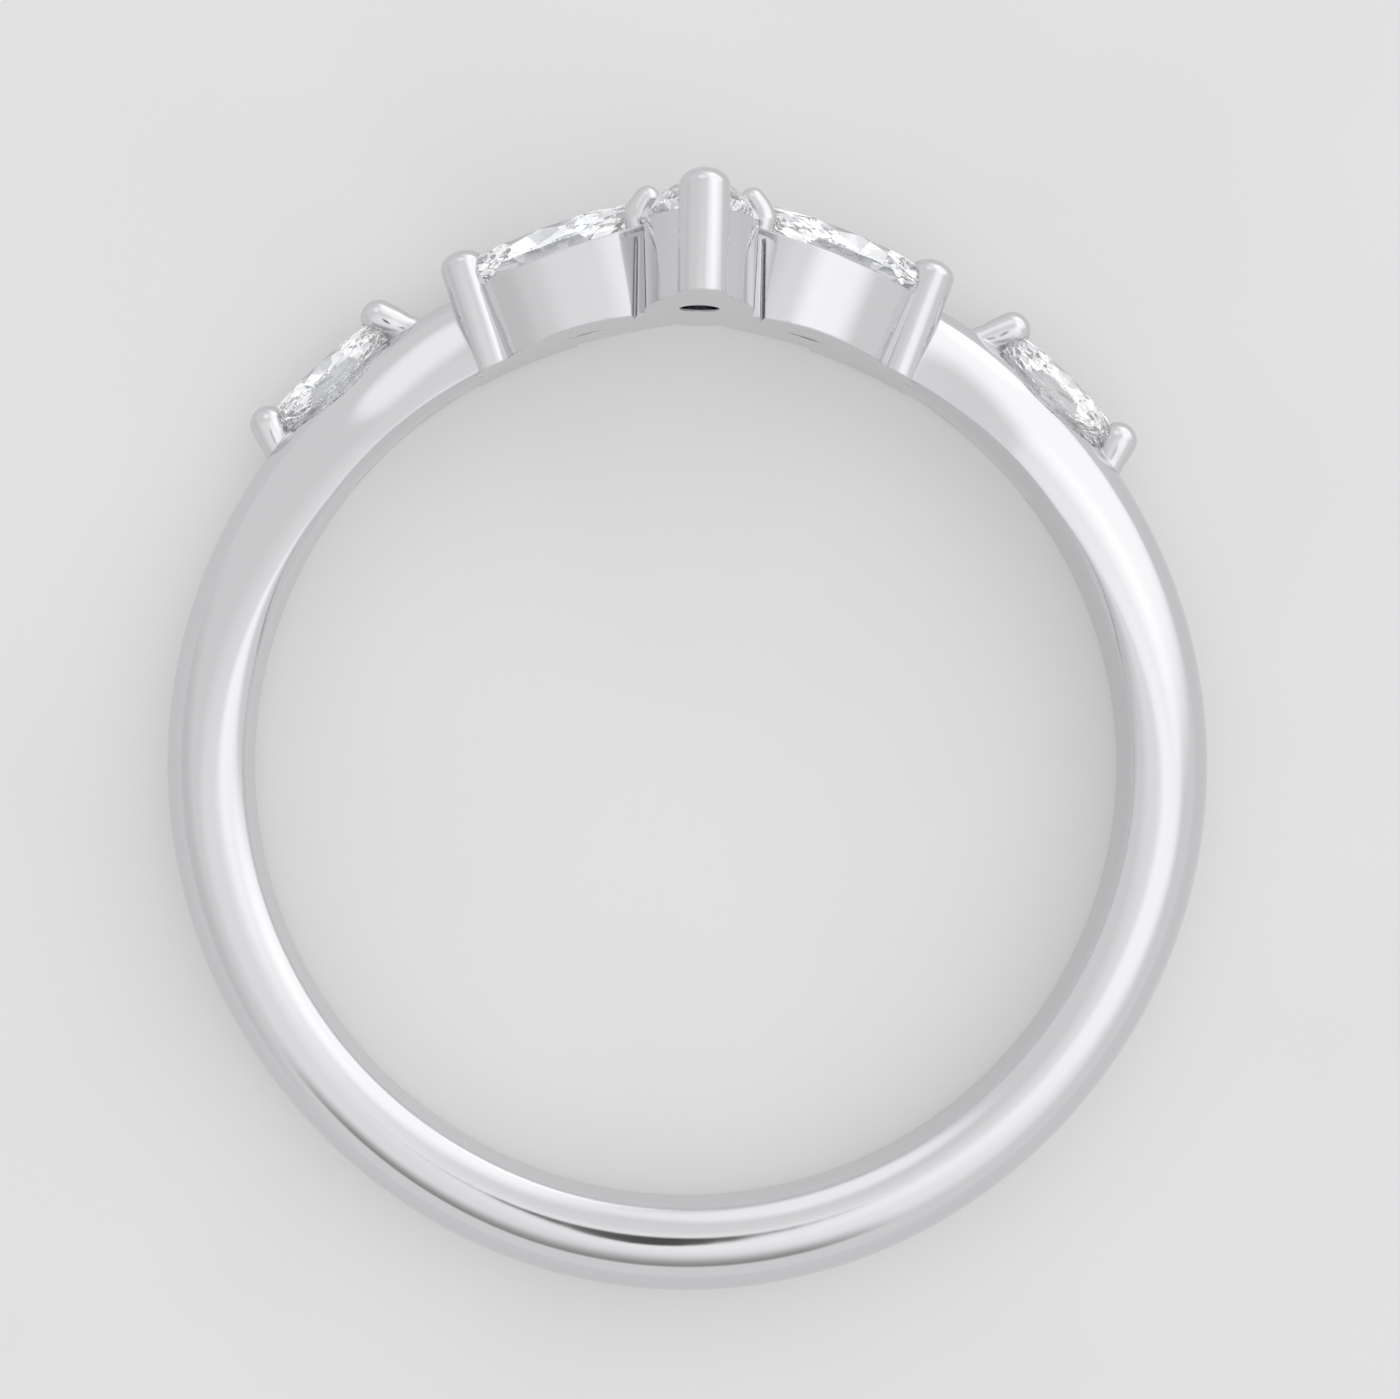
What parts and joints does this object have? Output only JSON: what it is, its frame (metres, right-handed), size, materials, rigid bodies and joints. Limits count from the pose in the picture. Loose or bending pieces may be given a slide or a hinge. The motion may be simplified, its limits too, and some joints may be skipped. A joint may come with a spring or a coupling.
{
  "type": "wedding band",
  "caption": "Slim polished court-shaped wedding band whose front rises to a chevron of marquise-cut stones, held by collets, tip bars, shared prongs and shoulder claws.",
  "frame": {"origin": "on the axis of the finger hole, half way across the shank", "axes": "+Z along the finger hole towards the front of the head, which is up as the ring lies on its side; +Y from the finger towards the head; +X to the right as seen from the front"},
  "size_m": [0.0202, 0.0211, 0.0056],
  "materials": {
    "metal": "high polish",
    "stone": "faceted, clear"
  },
  "bodies": {
    "root": {"band": "metal", "centre_stone": "stone", "left_side_stone": "stone", "right_side_stone": "stone", "left_shoulder_stone": "stone", "right_shoulder_stone": "stone"}
  },
  "joints": []
}
